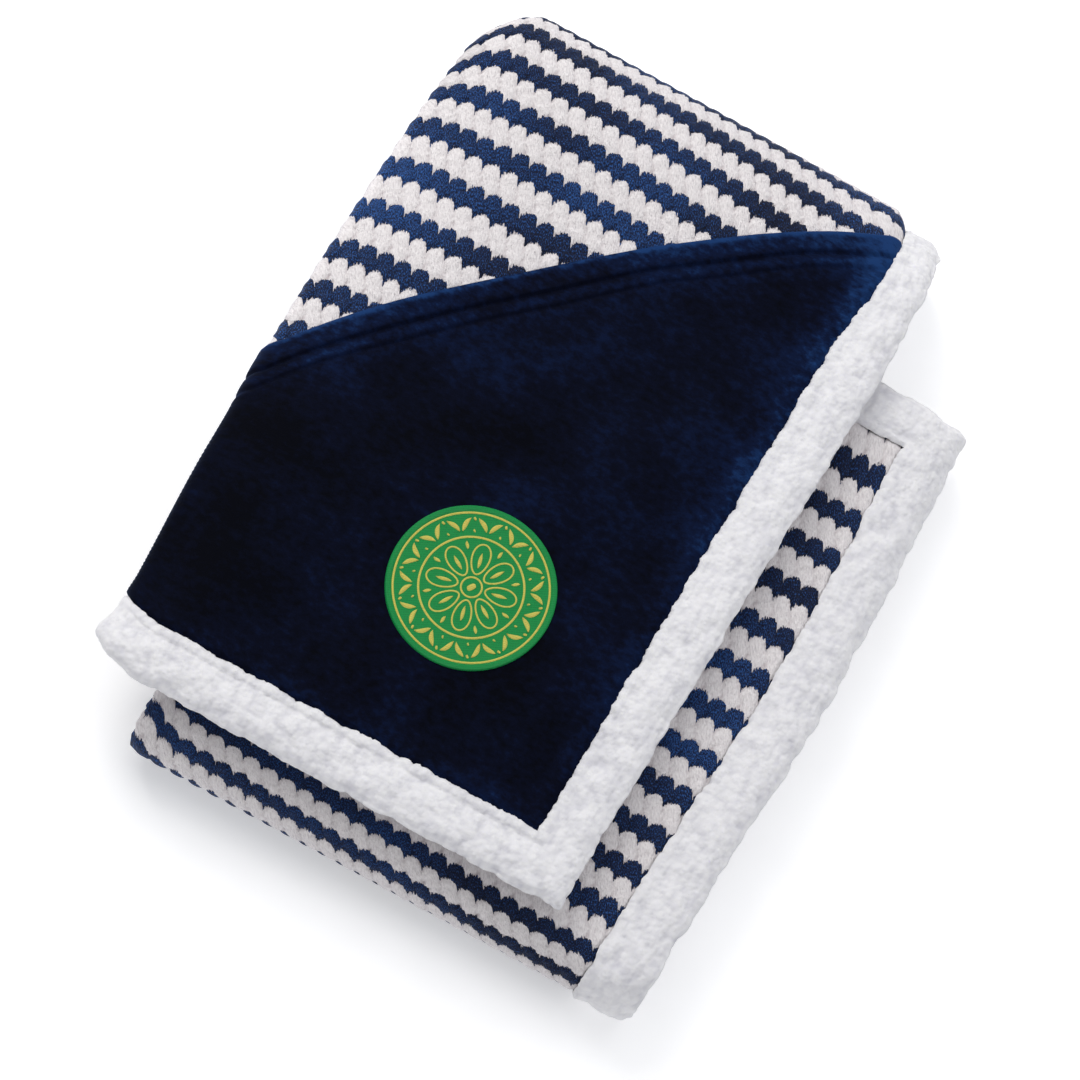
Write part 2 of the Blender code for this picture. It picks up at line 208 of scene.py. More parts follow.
FAR_BULGE = FAR_RISE**2 / FOLD_RADIUS
OUTER_FLAT = HALF_LENGTH - FAR_BULGE - OUTER_HEM_Y
OUTER_LENGTH = OUTER_FLAT + float(quarter_arc(FAR_BULGE, FAR_RISE)[1][-1])
LENGTH_PARTS = ("outer", "far", "base", "near", "inner")
L_LENGTHS = np.array(
    [OUTER_LENGTH, ARC_FOLD / 2, FAR_FOLD_Y - NEAR_FOLD_Y, ARC_FOLD, INNER_HEM_Y - NEAR_FOLD_Y]
)
L_STARTS = np.concatenate([[0.0], np.cumsum(L_LENGTHS)[:-1]])
LENGTH = float(L_LENGTHS.sum())
L_FAR, L_BASE, L_NEAR, L_INNER = (float(start) for start in L_STARTS[1:])


def edge_line(panels, along, values):
    """One edge of the cloth in fine steps of l, on a smooth line through the plan."""
    panels = [LENGTH_PARTS.index(panel) for panel in panels]
    places = L_STARTS[panels] + np.array(along) * L_LENGTHS[panels]
    values = np.array(values)
    last = len(PLAN) - 1
    after = np.minimum(np.arange(last + 1) + 1, last)
    before = np.maximum(np.arange(last + 1) - 1, 0)
    slope = (values[after] - values[before]) / (places[after] - places[before])
    l = np.linspace(0, LENGTH, 2400)
    k = np.clip(np.searchsorted(places, l, side="right") - 1, 0, last - 1)
    span = places[k + 1] - places[k]
    u = (l - places[k]) / span
    line = (
        (2 * u**3 - 3 * u**2 + 1) * values[k] + (u**3 - 2 * u**2 + u) * span * slope[k]
        + (3 * u**2 - 2 * u**3) * values[k + 1] + (u**3 - u**2) * span * slope[k + 1]
    )
    return l, line


PANELS, ALONG, LEFTS, RIGHTS = zip(*PLAN)
EDGES = {"left": edge_line(PANELS, ALONG, LEFTS), "right": edge_line(PANELS, ALONG, RIGHTS)}


def edge_at(side, l):
    return np.interp(l, *EDGES[side])


def droop(overhang, how):
    return how["depth"] * np.maximum(0.0, (overhang - how["start"]) / how["reach"]) ** 2


def outer_droop(x, y):
    """How far the outer flap hangs where it reaches past the inner flap's left edge."""
    return droop(edge_at("left", L_INNER + np.clip(y - NEAR_FOLD_Y, 0, L_LENGTHS[4])) - x, OUTER_DROOP)


def inner_droop(x, y):
    """How far the inner flap hangs where it reaches past the base's right edge."""
    return droop(x - edge_at("right", L_BASE + np.clip(FAR_FOLD_Y - y, 0, L_LENGTHS[2])), INNER_DROOP)


RISE_RANGE = 0.035
SHARE_STEPS = 96


def arc_tables():
    """For each rise, the far curve's length, and its angle at even shares of that length."""
    rises = np.linspace(FAR_RISE - RISE_RANGE, FAR_RISE, 48)
    shares = np.linspace(0, 1, SHARE_STEPS + 1)
    totals, turns = [], []
    for rise in rises:
        turn, lengths = quarter_arc(rise**2 / FOLD_RADIUS, rise)
        totals.append(lengths[-1])
        turns.append(np.interp(shares, lengths / lengths[-1], turn))
    return rises, np.array(totals), np.array(turns)


RISES, ARC_TOTALS, ARC_TURNS = arc_tables()


def arc_turn(rise, share):
    """The angle on the far curve at a share of its length."""
    i = np.clip((rise - RISES[0]) / (RISES[1] - RISES[0]), 0, len(RISES) - 1.001)
    j = np.clip(share * SHARE_STEPS, 0, SHARE_STEPS - 0.001)
    a, b = i.astype(int), j.astype(int)
    low = mix(ARC_TURNS[a, b], ARC_TURNS[a, b + 1], j - b)
    high = mix(ARC_TURNS[a + 1, b], ARC_TURNS[a + 1, b + 1], j - b)
    return mix(low, high, i - a)


def surface(x, l):
    """Y, Z and the way it faces, of the panels' outer surface over x at a place along the length."""
    part = np.clip(np.searchsorted(L_STARTS, l, side="right") - 1, 0, 4)
    t = (l - L_STARTS[part]) / L_LENGTHS[part]
    rise = FAR_RISE - outer_droop(x, INNER_HEM_Y)
    bulge = rise**2 / FOLD_RADIUS
    arc = np.interp(rise, RISES, ARC_TOTALS)
    flat = HALF_LENGTH - bulge - OUTER_HEM_Y
    run = t * (flat + arc)
    flat_y = OUTER_HEM_Y + run
    turn = arc_turn(rise, (run - flat) / arc)
    norm = np.hypot(np.sin(turn) / bulge, np.cos(turn) / rise)
    on_curve = run > flat
    outer = (
        np.where(on_curve, HALF_LENGTH - bulge + bulge * np.sin(turn), flat_y),
        np.where(on_curve, FOLD_RADIUS + rise * np.cos(turn), OUTER_TOP - outer_droop(x, flat_y)),
        np.where(on_curve, np.sin(turn) / bulge / norm, 0.0),
        np.where(on_curve, np.cos(turn) / rise / norm, 1.0),
    )
    inner_y = NEAR_FOLD_Y + l - L_INNER
    turn = np.where(part == 1, math.pi / 2 * (1 + t), math.pi * (1 + t))
    centre = np.where(part == 1, FAR_FOLD_Y, NEAR_FOLD_Y)
    bent = (
        centre + FOLD_RADIUS * np.sin(turn), FOLD_RADIUS * (1 + np.cos(turn)), np.sin(turn), np.cos(turn)
    )
    zero, one = np.zeros_like(x), np.ones_like(x)
    base = (mix(FAR_FOLD_Y, NEAR_FOLD_Y, t), zero, zero, -one)
    inner = (inner_y, INNER_TOP - inner_droop(x, inner_y), zero, one)
    which = [part == 0, part == 2, part == 4]
    return [np.select(which, [o, b, i], default=c) for o, b, i, c in zip(outer, base, inner, bent)]


def section(w, off):
    """Across the folded stack: distance from its left side, and depth below its outer surface."""
    part = np.clip(np.searchsorted(W_STARTS, w, side="right") - 1, 0, 6)
    at = w - W_STARTS[part]
    turn = math.pi * at / W_LENGTHS[part]
    left_reach, right_reach = LEFT_RADIUS + off, RIGHT_RADIUS - off
    across = [
        TOP_PLY - at, LEFT_CENTRE - left_reach * np.sin(turn), LEFT_CENTRE + at,
        RIGHT_CENTRE + right_reach * np.sin(turn), RIGHT_CENTRE - at,
        LEFT_CENTRE - left_reach * np.sin(turn), LEFT_CENTRE + at,
    ]
    depth = [
        DEPTH_4 + off, (DEPTH_3 + DEPTH_4) / 2 + left_reach * np.cos(turn), DEPTH_3 - off,
        (DEPTH_2 + DEPTH_3) / 2 + right_reach * np.cos(turn), DEPTH_2 + off,
        (DEPTH_1 + DEPTH_2) / 2 + left_reach * np.cos(turn), DEPTH_1 - off,
    ]
    which = [part == k for k in range(7)]
    return np.select(which, across), np.select(which, depth)


RIPPLE_UNTIL = {"end": 0.15, "over": 0.1}


def ripple(w, l):
    """Soft unevenness that all plies of the outer flap share."""
    wave = 0.0007 * np.sin(31 * w + 17 * l + 0.6) + 0.0005 * np.sin(-23 * w + 44 * l + 1.9)
    return wave + 0.0004 * np.sin(67 * w - 29 * l)


def bell(t):
    """1 at 0, and falling smoothly on both sides."""
    return np.exp(-(t**2))


def corner_pull(from_left, corner):
    """How far a corner at the left folds is drawn in, by the distance from the left side."""
    return corner["share"] * np.maximum(0.0, corner["radius"] - from_left) ** 2 / corner["radius"]


def folded(w, l, off):
    """Where points of the flat cloth lie in the folded throw."""
    across, depth = section(w, off)
    left, right = edge_at("left", l), edge_at("right", l)
    from_left = across * ((right - left) / TOP_PLY)
    x = left + from_left
    from_left, from_right = np.maximum(from_left, 0.0), right - x
    y, z, facing_y, facing_z = surface(x, l)
    y = y - facing_y * depth
    drawn = bell((from_right - DRAWN_IN["at"]) / DRAWN_IN["width"]) * smooth(from_right / DRAWN_IN["edge"])
    x = x + DRAWN_IN["most"] * drawn * smooth((y - HALF_LENGTH + DRAWN_IN["start"]) / DRAWN_IN["over"])
    rounding = FAR_RIGHT["pull"] * smooth((FAR_RIGHT["from"] - from_right) / FAR_RIGHT["over"])
    y = y - rounding * smooth(1 - (HALF_LENGTH - y) / FAR_RIGHT["reach"])
    y = y - corner_pull(from_left, FAR_CORNER) * smooth(1 - (HALF_LENGTH - y) / FAR_CORNER["reach"])
    from_hem = y - OUTER_HEM_Y
    hem_shift = corner_pull(from_left, HEM_CORNER) * smooth(1 - from_hem / HEM_CORNER["reach"])
    hem_shift = hem_shift + HEM_SETBACK["share"] * depth * smooth(1 - from_hem / HEM_SETBACK["reach"])
    outer = l < L_FAR
    y = y + np.where(outer, hem_shift, 0.0)
    wave = ripple(across, l) * smooth((RIPPLE_UNTIL["end"] - y) / RIPPLE_UNTIL["over"])
    z = z - facing_z * depth + np.where(outer, wave, 0.0)
    return np.stack([CENTRE_X + x, y, z], axis=1)


# Noise on numpy arrays

def hashed(cells, seed):
    """Numbers from 0 to 1 for whole-number cells, three for each."""
    a = cells.astype(np.int64)
    key = a[:, 0] * 73856093 ^ a[:, 1] * 19349663 ^ a[:, 2] * 83492791 ^ seed * 2654435761
    out = []
    for k in range(3):
        key = (key ^ (key >> 13)) * 1274126177 + 97 * k
        out.append(((key >> 5) & 0xFFFF) / 65535.0)
    return np.stack(out, axis=1)


def lumps(points, size, seed):
    """Rounded lumps about one size apart: 1 on a lump's top, and towards 0 in the gaps between."""
    scaled = points / size
    home = np.floor(scaled)
    nearest = np.full(len(points), 9.0)
    for step in np.ndindex(3, 3, 3):
        cell = home + step - 1
        centre = cell + 0.15 + 0.7 * hashed(cell, seed)
        nearest = np.minimum(nearest, ((scaled - centre) ** 2).sum(axis=1))
    return np.clip(1 - nearest, 0, 1)


# Meshes

def rows_mesh(rows, up=True):
    """Flat points, and faces between rows of (l, columns). Triangles join rows with unlike columns."""
    starts = np.concatenate([[0], np.cumsum([len(columns) for _, columns in rows])])
    w = np.concatenate([columns for _, columns in rows])
    l = np.concatenate([np.full(len(columns), at) for at, columns in rows])
    faces = []
    for k in range(len(rows) - 1):
        a, b = rows[k][1], rows[k + 1][1]
        s, t = int(starts[k]), int(starts[k + 1])
        if a is b:
            i = np.arange(len(a) - 1)
            faces += np.stack([s + i, s + i + 1, t + i + 1, t + i], axis=1).tolist()
            continue
        i = j = 0
        while i < len(a) - 1 or j < len(b) - 1:
            if j == len(b) - 1 or (i < len(a) - 1 and a[i + 1] <= b[j + 1]):
                faces.append([s + i, s + i + 1, t + j])
                i += 1
            else:
                faces.append([s + i, t + j + 1, t + j])
                j += 1
    if not up:
        faces = [face[::-1] for face in faces]
    return w, l, faces


def make_piece(name, points, faces, flat, height, material, node):
    """A piece of one material. Its UVs are the flat places (w, l), and its relief is an attribute; on the
    plush patch that attribute holds its painted highlight instead.
    """
    mesh = bpy.data.meshes.new(name)
    mesh.from_pydata(points.tolist(), [], faces)
    mesh.validate()
    mesh.materials.append(material)
    loops = np.empty(len(mesh.loops), dtype=np.int32)
    mesh.loops.foreach_get("vertex_index", loops)
    uv = mesh.uv_layers.new(name="flat")
    uv.data.foreach_set("uv", np.stack(flat, axis=1)[loops].astype(np.float32).ravel())
    relief = mesh.attributes.new("relief", "FLOAT", "POINT")
    relief.data.foreach_set("value", np.asarray(height, dtype=np.float32))
    mesh.shade_smooth()
    piece = bpy.data.objects.new(name, mesh)
    bpy.context.scene.collection.objects.link(piece)
    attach(piece, "root")
    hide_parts(node)
    return piece


def normals_of(points, faces):
    """A unit normal at each point."""
    mesh = bpy.data.meshes.new("scratch")
    mesh.from_pydata(points.tolist(), [], faces)
    found = np.empty(len(points) * 3, dtype=np.float32)
    mesh.vertex_normals.foreach_get("vector", found)
    bpy.data.meshes.remove(mesh)
    return found.reshape(-1, 3)


def spaced(low, high, step):
    """Even places from low to high, about a step apart."""
    count = max(1, round((high - low) / step))
    return np.linspace(low, high, count + 1)


def joined(*runs):
    """Runs of places in one sorted list without repeats."""
    places = np.concatenate(runs)
    return np.unique(np.round(places, 6))


# Knit-look cloth

def stripe_place(w, l):
    """Where on the even pattern a place of the cloth lies."""
    tilt = TILT["slope"] * np.maximum(0.0, TILT["from"] - w)
    tilt = tilt + TILT["curl"] * np.maximum(0.0, TILT["curl_from"] - w) ** 2
    at = l - tilt * smooth((l - TILT["start"]) / TILT["over"]) * smooth((TILT["end"] - l) / TILT["over"])
    across = from_table(w, LAID_ACROSS) * smooth((ACROSS_UNTIL["end"] - l) / ACROSS_UNTIL["over"])
    return at + from_table(at, LAID_ALONG) + across


def tuft(w, l, kind):
    """For the nearest tuft of one colour: the reach from its middle (1 on its rim), the place along it,
    how far past its rounded top, and how far past its row's middle.
    """
    row = np.floor((l - STRIPE_START) / STRIPE - kind["row"] + 0.5) + kind["row"]
    from_row = l - STRIPE_START - row * STRIPE
    shifted = w + LEAN * l + (row * 2 * TUFT_DRIFT + kind["shift"]) * TUFT_PITCH
    across = shifted - np.floor(shifted / TUFT_PITCH + 0.5) * TUFT_PITCH
    norm = math.hypot(1, LEAN)
    q = np.abs(across) / norm
    p = from_row * norm - across * LEAN / norm
    reach = (q / TUFT_HALF_WIDTH) ** SIDE_POWER + np.abs(p / kind["half_length"]) ** END_POWER
    top = p - kind["half_length"] * (1 - (q / TOP_HALF_WIDTH) ** SIDE_POWER) ** (1 / END_POWER)
    return reach, p, top, from_row


def knit_relief(w, l):
    """Height of the knit look from 0 to 1. Each row's rounded tops lie over the row beyond it."""
    cream = tuft(w, l, TUFTS["cream"])
    navy = tuft(w, l, TUFTS["navy"])
    is_cream = np.where(cream[3] > navy[3], cream[2] < 0, navy[2] >= 0)
    reach, p = (np.where(is_cream, cream[k], navy[k]) for k in (0, 1))
    dome = np.sqrt(np.clip(1.15 - reach, 0.02, 1.0))
    return dome * (1 - WAIST["depth"] * bell(p / WAIST["length"]))


PATCH_CORNER_W = WIDTH - BORDER - GAP
PATCH_CORNER_L = BORDER + GAP
PATCH_TIP_W = PATCH_CORNER_W - PATCH_LEGS[0]
HEM_LENGTH = math.hypot(*PATCH_LEGS)
HEM_UNIT = (PATCH_LEGS[0] / HEM_LENGTH, PATCH_LEGS[1] / HEM_LENGTH)
HEM_LINE = [
    (0.000, 0.0000), (0.150, -0.0035), (0.300, -0.0054), (0.378, -0.0057), (0.457, -0.0072),
    (0.500, -0.0066), (0.540, -0.0034), (0.563, -0.0012), (0.605, 0.0042), (0.640, 0.0084), (0.667, 0.0115),
]


def hem_inset(s):
    """How far the hem's edge lies inside a straight diagonal, at a place along it."""
    return from_table(s, HEM_LINE)


def hem_distance(w, l):
    """How far a place is past the patch's diagonal edge, negative on the patch."""
    along = (w - PATCH_TIP_W) * HEM_UNIT[0] + (l - PATCH_CORNER_L) * HEM_UNIT[1]
    return (l - PATCH_CORNER_L) * HEM_UNIT[0] - (w - PATCH_TIP_W) * HEM_UNIT[1] + hem_inset(along)


KNIT_MESH = {
    "fine": 0.00193, "side": 0.0026, "hidden": 0.0130, "under_patch": 0.0032, "bottom": (0.0080, 0.0060),
}
UNDER_BORDER = 0.0012
HEM_ROWS = {"start": 0.205, "end": 0.517, "bands": 8, "margin": 0.022}
STRIP_WIDTH = 0.092


def from_edges(w, l):
    """How far a place is from the nearest free edge of the throw."""
    return np.minimum(np.minimum(w, WIDTH - w), np.minimum(l, LENGTH - l))


def knit_rows():
    """Fine where the knit shows from above and at the sides, and coarse where it is hidden."""
    step, low, high = KNIT_MESH["fine"], BORDER - UNDER_BORDER, WIDTH - BORDER + UNDER_BORDER
    side_low = spaced(W_STARTS[1] - 0.012, W_STARTS[2] + 0.012, KNIT_MESH["side"])
    side_top = spaced(W_STARTS[5] - 0.012, P1_START + 0.004, KNIT_MESH["side"])
    plain = joined(spaced(low, high, KNIT_MESH["hidden"]), side_low, side_top)
    fine_from = W_STARTS[5] - 0.006

    def columns(fine_low, fine_high):
        rest = plain[(plain < fine_low - 0.001) | (plain > fine_high + 0.001)]
        return joined(rest, spaced(fine_low, fine_high, step))

    rows = []

    def band(start, end, pitch, at):
        rows.extend((float(l), at) for l in spaced(start, end, pitch)[1 if rows else 0:])

    hem_start, hem_end, bands = HEM_ROWS["start"], HEM_ROWS["end"], HEM_ROWS["bands"]
    band(BORDER - UNDER_BORDER, hem_start, KNIT_MESH["under_patch"], plain)
    for k in range(bands):
        start, end = mix(hem_start, hem_end, k / bands), mix(hem_start, hem_end, (k + 1) / bands)
        hem_w = PATCH_TIP_W + (end - PATCH_CORNER_L) * PATCH_LEGS[0] / PATCH_LEGS[1] + HEM_ROWS["margin"]
        band(start, end, step, columns(fine_from, min(high, max(hem_w, P1_START + 0.01))))
    whole = columns(fine_from, high)
    band(hem_end, L_FAR + 0.030, step, whole)
    bottom_w, bottom_l = KNIT_MESH["bottom"]
    band(L_FAR + 0.030, L_NEAR + 0.006, bottom_l, joined(spaced(low, high, bottom_w), side_low, side_top))
    band(L_NEAR + 0.006, L_INNER + 0.012, step, whole)
    band(L_INNER + 0.012, LENGTH - BORDER + UNDER_BORDER, step, columns(high - STRIP_WIDTH, high))
    return rows


def pressed(l, before, over, after):
    """1 where the cloth lies pressed below the stack, fading before the far fold and after the near one."""
    return smooth((l - L_FAR + before) / over) * smooth((L_NEAR + after - l) / 0.03)


def make_knit(material):
    w, l, faces = rows_mesh(knit_rows())
    from_seam = from_edges(w, l) - BORDER
    place = stripe_place(w, l)
    relief = knit_relief(w, place)
    by_patch = (w > PATCH_TIP_W) * (l < PATCH_CORNER_L + PATCH_LEGS[1])
    under_patch = smooth((-hem_distance(w, l) - 0.002) / 0.004) * by_patch
    hidden = np.maximum(under_patch, 0.55 * (w < P1_START - 0.012))
    gain = 1 - 0.50 * pressed(l, 0.05, 0.06, 0.030)
    gain = gain * (1 - 0.7 * hidden) * smooth((from_seam + 0.001) / 0.006)
    off = KNIT_LOW + KNIT_HEIGHT * gain * relief
    points = folded(w, l, off)
    return make_piece("striped_knit", points, faces, (w, place), relief, material, "knit_face")


# Sherpa fleece with its turned-over border, whose profile goes from its free edge to its seam

EDGE_STEPS = np.array([0.0, 0.0004, 0.0012, 0.0024, 0.0040])
LIP = {"raise": 0.0018, "reach": 0.0018, "size": 0.0027, "seed": 5, "start": 0.0290, "over": 0.0025}
EDGE_LOW = -0.0006
EDGE_ROUND = 0.0042
BORDER_PROFILE = [
    (0.0000, -0.0006), (0.0040, 0.0026), (0.0100, 0.0044), (0.0160, 0.0047), (0.0215, 0.0042),
    (0.0255, 0.0036), (0.0270, 0.0026), (0.0286, 0.0036), (0.0305, 0.0036), (0.0312, 0.0026),
    (0.0320, 0.0006),
]
GROOVE_FILL = {"at": 0.0270, "width": 0.0014, "height": 0.0009}
OUTER_RIGHT_EDGE = {"y": (-0.249, 0.15), "x": (0.100, 0.127)}
FLEECE_MESH = {
    "fine": 0.0016, "left_border": 0.0040, "right_border": 0.0015, "right_fold": 0.0024, "middle": 0.0022,
    "near_hidden": 0.0028, "hidden": 0.0080, "back": 0.024,
}


def edged(low, high, low_end, high_end, step):
    """Places from low to high, closer together at the ends that are free edges."""
    start = low + EDGE_STEPS if low_end else np.array([low])
    end = high - EDGE_STEPS[::-1] if high_end else np.array([high])
    return joined(start, spaced(start[-1], end[0], step), end)


def fleece_sheets():
    """The flat fleece in five sheets, each with its side: the border's front in four parts, and the back."""
    fine, high = FLEECE_MESH["fine"], WIDTH - BORDER
    left_border = edged(0.0, BORDER, True, False, FLEECE_MESH["left_border"])
    right_border = edged(high, WIDTH, False, True, FLEECE_MESH["right_border"])

    def across(fine_from, pitch):
        hidden, shown = spaced(BORDER, fine_from, pitch), spaced(fine_from, high, fine)
        return joined(left_border, hidden, shown, right_border)

    near_columns = across(P1_START - 0.012, FLEECE_MESH["near_hidden"])
    far_columns = across(WIDTH - 0.110, FLEECE_MESH["hidden"])
    right_fold = spaced(W_STARTS[3] - 0.008, W_STARTS[4] + 0.008, FLEECE_MESH["right_fold"])
    plain = spaced(BORDER, high, FLEECE_MESH["back"])
    plain = plain[np.abs(plain - (W_STARTS[3] + W_STARTS[4]) / 2) > 0.014]
    edges = left_border[left_border < 0.018], right_border[right_border > WIDTH - 0.016]
    back_columns = joined(plain, right_fold, *edges)
    near_l = edged(0.0, BORDER, True, False, fine)
    far_l = edged(LENGTH - BORDER, LENGTH, False, True, fine)
    middle_l = joined(
        spaced(BORDER, L_FAR + 0.036, FLEECE_MESH["middle"]),
        spaced(L_FAR + 0.036, L_NEAR + 0.004, FLEECE_MESH["hidden"]),
        spaced(L_NEAR + 0.004, LENGTH - BORDER, FLEECE_MESH["middle"]),
    )
    near, far = [(l, near_columns) for l in near_l], [(l, far_columns) for l in far_l]
    left, right, back = ([(l, at) for l in middle_l] for at in (left_border, right_border, back_columns))
    front = [(rows_mesh(rows), 1) for rows in (near, far, left, right)]
    return front + [(rows_mesh(near + back[1:-1] + far, up=False), -1)]


def fleece_layout():
    """The flat fleece as one mesh: places, faces, and 1 in front or -1 behind for each place."""
    sheets = fleece_sheets()
    w = np.concatenate([sheet[0] for sheet, _ in sheets])
    l = np.concatenate([sheet[1] for sheet, _ in sheets])
    face_side = np.concatenate([np.full(len(sheet[0]), side) for sheet, side in sheets])
    faces, start = [], 0
    for (sheet_w, _, sheet_faces), _ in sheets:
        faces += [[start + i for i in face] for face in sheet_faces]
        start += len(sheet_w)
    side_key = np.where(from_edges(w, l) < 1e-6, 0, face_side)
    key = np.stack([np.round(w * 1e6), np.round(l * 1e6), side_key], axis=1)
    _, first, same = np.unique(key, axis=0, return_index=True, return_inverse=True)
    same = same.ravel()
    faces = [[int(same[i]) for i in face] for face in faces]
    faces = [face for face in faces if len(set(face)) == len(face)]
    return w[first], l[first], face_side[first], faces


def border_shown(w, l):
    """1 where the border shows in the folded throw, and 0 where plies cover it."""
    shown = smooth((w - P1_START) / 0.004)
    across = section(w, np.zeros_like(w))[0]
    x = edge_at("left", l) + across * (edge_at("right", l) - edge_at("left", l)) / TOP_PLY
    outer_edge = np.interp(NEAR_FOLD_Y + l - L_INNER, OUTER_RIGHT_EDGE["y"], OUTER_RIGHT_EDGE["x"])
    beyond = smooth((x - outer_edge - 0.002) / 0.008)
    return np.where(l > L_INNER, shown * beyond, shown)


def make_fleece(material):
    w, l, face_side, faces = fleece_layout()
    edge = from_edges(w, l)
    shown = border_shown(w, l)
    kept = 1 - 0.85 * pressed(l, 0.03, 0.05, 0.035)
    puff = (0.25 + 0.75 * shown) * kept
    rounded = quarter_round(edge / EDGE_ROUND)
    by_w, by_l = WIDTH - w <= edge + 1e-7, l <= edge + 1e-7
    height = from_table(edge, BORDER_PROFILE)
    height = height + GROOVE_FILL["height"] * bell((edge - GROOVE_FILL["at"]) / GROOVE_FILL["width"]) * by_w
    front = mix(EDGE_LOW, np.minimum(height, 0.0018 + puff * 0.0030), rounded)
    round_fold = bell((w - P1_START + 0.004) / CORNER["roll_width"]) * (w > W_STARTS[5] - 0.004)
    outer_part = smooth((CORNER["from"] - l) / CORNER["over"])
    front += CORNER["roll"] * round_fold * outer_part * rounded
    jagged = lumps(np.stack([w, l, 0 * w], axis=1), LIP["size"], LIP["seed"])
    jagged = jagged * smooth((edge - LIP["start"]) / LIP["over"]) * shown
    front += LIP["raise"] * jagged
    back = mix(EDGE_LOW, -SHERPA_THICK, rounded)
    over = LIP["reach"] * jagged * (face_side > 0)
    points = folded(w - over * by_w, l + over * by_l, np.where(face_side > 0, front, back))
    flare = bell((w - P1_START + 0.006) / CORNER["flare_width"]) * outer_part
    points[:, 0] -= CORNER["flare"] * flare
    points[:, 1] -= 0.4 * CORNER["flare"] * flare
    normals = normals_of(points, faces)
    curls = sum(share * lumps(points, size, seed) for size, share, seed in CURLS)
    wave = np.sin(points[:, 0] * 210 + 2 * np.sin(points[:, 1] * 90)) * np.sin(points[:, 1] * 190 + 1.3)
    swell = SWELL["height"] * (lumps(points, SWELL["size"], SWELL["seed"]) - 0.5)
    lift = CURL * (curls - 0.45) + WAVE * wave + swell
    lift *= np.where(face_side > 0, kept, 0.8)
    points = points + normals * lift[:, None]
    points[:, 2] = np.maximum(points[:, 2], 0.0)
    return make_piece("sherpa_fleece", points, faces, (w, l), curls, material, "sherpa_back")


# Plush corner patch

PATCH_MESH = 0.0022
HEM_EDGE_STEPS = [0.0, 0.0002, 0.0007, 0.0015]
TUCK = 0.0010
# Grooves beside the hem: place from its edge, depth and width
GROOVES = [(0.0165, 0.0019, 0.0015), (0.0262, 0.0013, 0.0013)]
PUCKER = {"depth": 0.00035, "at": 0.021, "width": 0.009}

# Bands of painted highlight on the pile: by the hem as (light, at, width), and along the two legs
HEM_HIGHLIGHT = [(1.5, 0.0020, 0.0026), (0.6, 0.009, 0.006), (0.55, 0.0212, 0.0028), (0.25, 0.030, 0.005)]
LEG_HIGHLIGHT = {"light": 0.40, "at": 0.003, "width": 0.010}
RIGHT_HIGHLIGHT = {"low": 0.35, "rise": 0.65, "start": 0.12, "over": 0.32, "at": 0.003, "width": 0.013}


def patch_rows():
    """Rows of the patch parallel to its hem: distance from the hem's edge, and places along the hem."""
    hem_rows = spaced(0.0024, 0.0300, 0.00092)
    along, across = HEM_UNIT
    rows = []
    for r in joined(HEM_EDGE_STEPS, hem_rows, spaced(0.0300, 0.3330, PATCH_MESH)):
        low = (r * along - TUCK) / across
        high = (PATCH_LEGS[0] + TUCK - r * across) / along
        if high - low > 0.002:
            rows.append((float(r), spaced(low, high, PATCH_MESH)))
    return rows


def patch_height(s, r, w, l):
    """Height of the patch, with its hem, grooves, puckers and a soft unevenness."""
    pucker = 0.5 + 0.5 * np.sin(s * 520 + 3.0 * np.sin(s * 41) + 9 * r / 0.02)
    hem = smooth((HEM_WIDTH + 0.001 - r) / 0.0025)
    height = PATCH_TOP + (HEM_TOP - PATCH_TOP) * hem
    height = height + 0.0010 * smooth(1 - (r - HEM_WIDTH) / 0.02) * (r > HEM_WIDTH)
    for from_edge, depth, width in GROOVES:
        across = (r - from_edge - 0.0006 * np.sin(s * 61)) / width
        height = height - depth * bell(across) * (0.75 + 0.25 * pucker)
    height = height + PUCKER["depth"] * (pucker - 0.5) * bell((r - PUCKER["at"]) / PUCKER["width"])
    return height + 0.0004 * np.sin(w * 52 + 3 * l) * np.sin(l * 47 - 2 * w) * smooth((r - 0.03) / 0.03)


def painted_highlight(r, w, l):
    """How much painted highlight the pile gets: in bands by the hem and along the two legs, more along the
    right leg towards the hem.
    """
    highlight = sum(light * bell((r - at) / width) for light, at, width in HEM_HIGHLIGHT)
    right = RIGHT_HIGHLIGHT["low"] + RIGHT_HIGHLIGHT["rise"] * smooth((l - RIGHT_HIGHLIGHT["start"]) / RIGHT_HIGHLIGHT["over"])
    highlight = highlight + right * bell((PATCH_CORNER_W - w - RIGHT_HIGHLIGHT["at"]) / RIGHT_HIGHLIGHT["width"])
    return highlight + LEG_HIGHLIGHT["light"] * bell((l - PATCH_CORNER_L - LEG_HIGHLIGHT["at"]) / LEG_HIGHLIGHT["width"])


def make_patch(material):
    s, r, faces = rows_mesh(patch_rows(), up=False)
    inward = r + hem_inset(s) * smooth(1 - (r - 0.03) / 0.12)
    w = PATCH_TIP_W + s * HEM_UNIT[0] + inward * HEM_UNIT[1]
    l = PATCH_CORNER_L + s * HEM_UNIT[1] - inward * HEM_UNIT[0]
    from_leg = np.minimum(PATCH_CORNER_W - w, l - PATCH_CORNER_L)
    height = patch_height(s, r, w, l) + 0.0009 * smooth(1 - from_leg / 0.020) * smooth(from_leg / 0.006)
    seam = smooth((from_leg + 0.0008) / 0.0040)
    rim = quarter_round(r / 0.0032)
    points = folded(w, l, mix(0.0008, height, seam * rim))
    # The patch's relief attribute carries its painted highlight, not a height
    return make_piece("plush_patch", points, faces, (w, l), painted_highlight(r, w, l), material, "corner_patch")


# Embroidered badge

